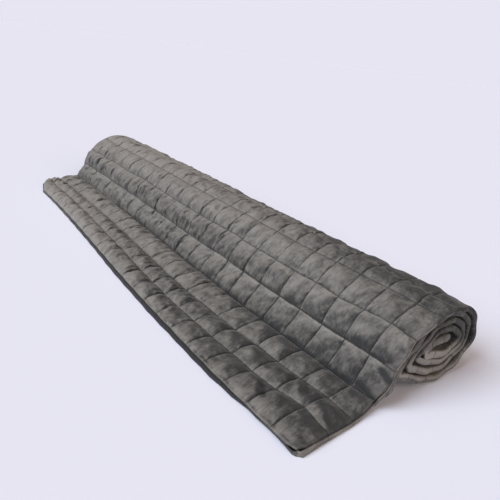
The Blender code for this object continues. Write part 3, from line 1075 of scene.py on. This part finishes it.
def angle(name, description, degrees):
    """An angle property."""
    return number(name, description, math.radians(degrees), subtype="ANGLE")


def hex_colour(name, description, default):
    """A colour property that holds an sRGB hex value."""
    return StringProperty(name=name, description=description, default=default)


class BlanketSize(bpy.types.PropertyGroup):
    square: length("Square", "One quilted square, seam to seam", SQUARE)
    columns: IntProperty(name="Columns", description="Squares along the roll", default=23)
    rows: IntProperty(name="Rows", description="Squares from edge to edge", default=34)
    end_share: number(
        "End square", "Share of a square left beside the end hems", 0.87, subtype="FACTOR"
    )
    seam_half: length("Seam", "Half the thickness at a quilting seam", 0.0016)
    groove_half: length("Groove width", "Half width of the groove at a seam", 0.0013)
    groove_depth: length("Groove depth", "Depth of the groove at a seam", 0.0009)
    seam_wander: length("Seam wander", "How far the seams stray from straight", 0.0020)
    hem_half: length("Hem", "Half the thickness just inside the hem", 0.0050)
    rolled_half: length("Rolled hem", "The same on the roll, pressed by its turns", 0.0062)
    hem_round: length("Hem round", "Size of the round beside the hem's seam", 0.0024)
    crown_in: length("Inward crown", "Rise of the inward panel over a square", 0.0030)
    crown_power: number("Crown shape", "Higher gives flatter squares with steeper sides", 2.3)
    lump_height: length("Lumps", "Height of the filling's lumps", 0.0026)
    gather_height: length("Gathers", "Height of the gathers across the rows", 0.0068)
    pucker_height: length("Puckers", "Height of the puckers along the seams", 0.0011)
    wall_share: number("Wall", "Cloth in the wall under the hem, over the hem's height", 1.15)
    foot_corner: length("Foot corner", "How far out the foot's near corner is cut off", 0.0065)
    wall_belly: length("Wall belly", "How far the wall under the hem bulges", 0.0012)
    scallop: length("Scallop", "How far the seams draw the end hems in", 0.0014)
    end_sag: length("End sag", "How far the roll's top sags in at its near end", 0.0120)
    sag_reach: length("Sag reach", "How far the sag reaches in from the near end", 0.1300)
    # Painted light: the way the light comes from; slopes that face it are painted lighter.
    painted_light_way: FloatVectorProperty(
        name="Brushed", description="Way the pile was last brushed up", size=3,
        default=(-0.30, -0.45, 0.80),
    )
    # How soon steep slopes stop changing the painted light.
    painted_light_softness: number("Stroke softness", "How soon steep slopes stop changing the pile", 3.2)
    # Painted shade in single folds and on the sides of the gathers.
    painted_fold_shade: number("Fold shade", "Darkening of single folds, for a metre of depth", 130.0)
    painted_crease_shade: number("Crease", "How much darker the sides of the gathers lie", 0.4)
    # How much painted light the slopes that face the light get.
    painted_light_gain: number("Stroke", "How much the pile lightens as it rises", 1.50)


class BlanketLook(bpy.types.PropertyGroup):
    # The pile's two colours, mixed by its lie, which also holds painted light and shade.
    pile_dark: hex_colour("Dark pile", "Pile stroked away, sRGB hex", "#37393a")
    pile_light: hex_colour("Light pile", "Pile stroked up, sRGB hex", "#8e8d88")
    patch_share: number("Patches", "Strength of the patches", 1.02)
    streak_share: number("Streaks", "Strength of the streaks", 0.68)
    nap_half: number("Nap", "Lower gives harder edges between light and dark pile", 0.56)
    glow: number("Glow", "Soft light from the pile's tips", 0.32, subtype="FACTOR")
    glow_colour: hex_colour("Glow colour", "Colour of the pile's tips, sRGB hex", "#c8c8c4")


class StageLook(bpy.types.PropertyGroup):
    place: FloatVectorProperty(
        name="Camera", description="Place of the camera", size=3, subtype="TRANSLATION",
        default=(0.91296, -0.59051, 0.46202),
    )
    turn: angle("Heading", "Camera heading from the X axis", 138.951)
    tilt: angle("Tilt", "Camera tilt below the level", 22.044)
    roll: angle("Roll", "Camera roll", 7.930)
    lens: number("Lens", "Focal length in millimetres", 35.457)
    ambient: number("Ambient light", "Strength of the light from all round", 0.20)
    floor_gain: number("Floor gain", "Share of the lights' strength that the floor gets", 1.0)


def camera_matrix(look):
    """Camera at its place, turned by heading, tilt and roll."""
    heading, tilt = look.turn, look.tilt
    level_way = Vector((math.cos(heading), math.sin(heading), 0.0))
    ahead = math.cos(tilt) * level_way - math.sin(tilt) * Vector((0, 0, 1))
    level = Vector((math.sin(heading), -math.cos(heading), 0.0))
    above = level.cross(ahead)
    right = math.cos(look.roll) * level + math.sin(look.roll) * above
    up = right.cross(ahead)
    turned = Matrix((right, up, -ahead)).transposed().to_4x4()
    return Matrix.Translation(Vector(look.place)) @ turned


def light_way(around, up):
    """The way from the object to a light, by its angles in degrees."""
    around, up = math.radians(around), math.radians(up)
    level = math.cos(up)
    return Vector((level * math.cos(around), level * math.sin(around), math.sin(up)))


def add_light(name, around, up, strength, width, colour):
    """A soft distant light."""
    lamp = bpy.data.lights.new(name, "SUN")
    lamp.energy = strength
    lamp.angle = math.radians(width)
    lamp.color = linear(colour)[:3]
    obj = bpy.data.objects.new(name, lamp)
    obj.rotation_euler = light_way(around, up).to_track_quat("Z", "Y").to_euler()
    bpy.context.scene.collection.objects.link(obj)


def floor_colour(ambient, gain):
    """The colour a floor needs to look like the backdrop in these lights: the backdrop's
    over the light that falls on a level surface."""
    level = ambient * np.array(linear(AMBIENT_COLOUR)[:3])
    for _, around, up, strength, _, colour in LIGHTS:
        falling = strength * light_way(around, up).z / math.pi
        level = level + gain * falling * np.array(linear(colour)[:3])
    return np.array(linear(BACKDROP_COLOUR)[:3]) / level


def studio_world(ambient):
    """The backdrop's pale colour where the camera sees it, and a soft warm light from it."""
    world = bpy.data.worlds.new("studio")
    world.use_nodes = True
    tree = world.node_tree
    tree.nodes.clear()
    path = add_node(tree, "ShaderNodeLightPath")
    pale = {"Color": linear(BACKDROP_COLOUR), "Strength": 1.0}
    warm = {"Color": linear(AMBIENT_COLOUR), "Strength": ambient}
    seen = add_node(tree, "ShaderNodeBackground", inputs=pale)
    lit = add_node(tree, "ShaderNodeBackground", inputs=warm)
    links = {0: path.outputs["Is Camera Ray"], 1: lit.outputs[0], 2: seen.outputs[0]}
    mixed = add_node(tree, "ShaderNodeMixShader", links)
    add_node(tree, "ShaderNodeOutputWorld", {"Surface": mixed.outputs[0]})
    return world


class BLANKET_OT_blanket(bpy.types.Operator):
    """Builds the quilted blanket from its sizes"""

    bl_idname = "blanket.build"
    bl_label = "Build Blanket"
    bl_options = {"REGISTER", "UNDO"}

    def execute(self, context):
        scene = context.scene
        quilt = Quilt(scene.blanket_size)
        mesh = closed_mesh("quilted_blanket", blanket_grids(quilt))
        blanket = bpy.data.objects.new("quilted_blanket", mesh)
        scene.collection.objects.link(blanket)
        mesh.materials.append(plush_material(scene.blanket_look, quilt))
        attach(blanket, "root")
        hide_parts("blanket")
        return {"FINISHED"}


class BLANKET_OT_stage(bpy.types.Operator):
    """Adds the floor, the lights and the camera"""

    bl_idname = "blanket.stage"
    bl_label = "Build Stage"
    bl_options = {"REGISTER", "UNDO"}

    def execute(self, context):
        scene = context.scene
        look = scene.blanket_stage
        scene.view_settings.view_transform = "Standard"
        signs = ((-1, -1), (1, -1), (1, 1), (-1, 1))
        corners = [(x * FLOOR_HALF, y * FLOOR_HALF, FLOOR_HEIGHT) for x, y in signs]
        mesh = bpy.data.meshes.new("floor")
        mesh.from_pydata(corners, [], [(0, 1, 2, 3)])
        floor = bpy.data.objects.new("floor", mesh)
        mesh.materials.append(backdrop_material(floor_colour(look.ambient, look.floor_gain)))
        scene.collection.objects.link(floor)
        for light in LIGHTS:
            add_light(*light)
        scene.world = studio_world(look.ambient)
        camera = bpy.data.cameras.new("camera")
        camera.lens = look.lens
        camera.sensor_width = 36.0
        camera.clip_start = 0.01
        camera.clip_end = 200
        obj = bpy.data.objects.new("camera", camera)
        obj.matrix_world = camera_matrix(look)
        scene.collection.objects.link(obj)
        scene.camera = obj
        return {"FINISHED"}


class BLANKET_PT_panel(bpy.types.Panel):
    """Sizes, colours and build buttons of the blanket"""

    bl_idname = "BLANKET_PT_panel"
    bl_label = "Rolled Blanket"
    bl_space_type = "VIEW_3D"
    bl_region_type = "UI"
    bl_category = "Blanket"

    def draw(self, context):
        scene = context.scene
        for group in (scene.blanket_size, scene.blanket_look, scene.blanket_stage):
            box = self.layout.box()
            for name in group.__annotations__:
                box.prop(group, name)
        for operator in OPERATORS:
            self.layout.operator(operator.bl_idname)


OPERATORS = (BLANKET_OT_blanket, BLANKET_OT_stage)
GROUPS = (
    ("blanket_size", BlanketSize),
    ("blanket_look", BlanketLook),
    ("blanket_stage", StageLook),
)


def register():
    for _, group in GROUPS:
        bpy.utils.register_class(group)
    for operator in OPERATORS:
        bpy.utils.register_class(operator)
    bpy.utils.register_class(BLANKET_PT_panel)
    for name, group in GROUPS:
        setattr(bpy.types.Scene, name, PointerProperty(type=group))


def unregister():
    for name, _ in GROUPS:
        delattr(bpy.types.Scene, name)
    bpy.utils.unregister_class(BLANKET_PT_panel)
    for operator in reversed(OPERATORS):
        bpy.utils.unregister_class(operator)
    for _, group in reversed(GROUPS):
        bpy.utils.unregister_class(group)


def main():
    register()
    bpy.ops.blanket.build()
    bpy.ops.blanket.stage()


if __name__ == "__main__":
    main()
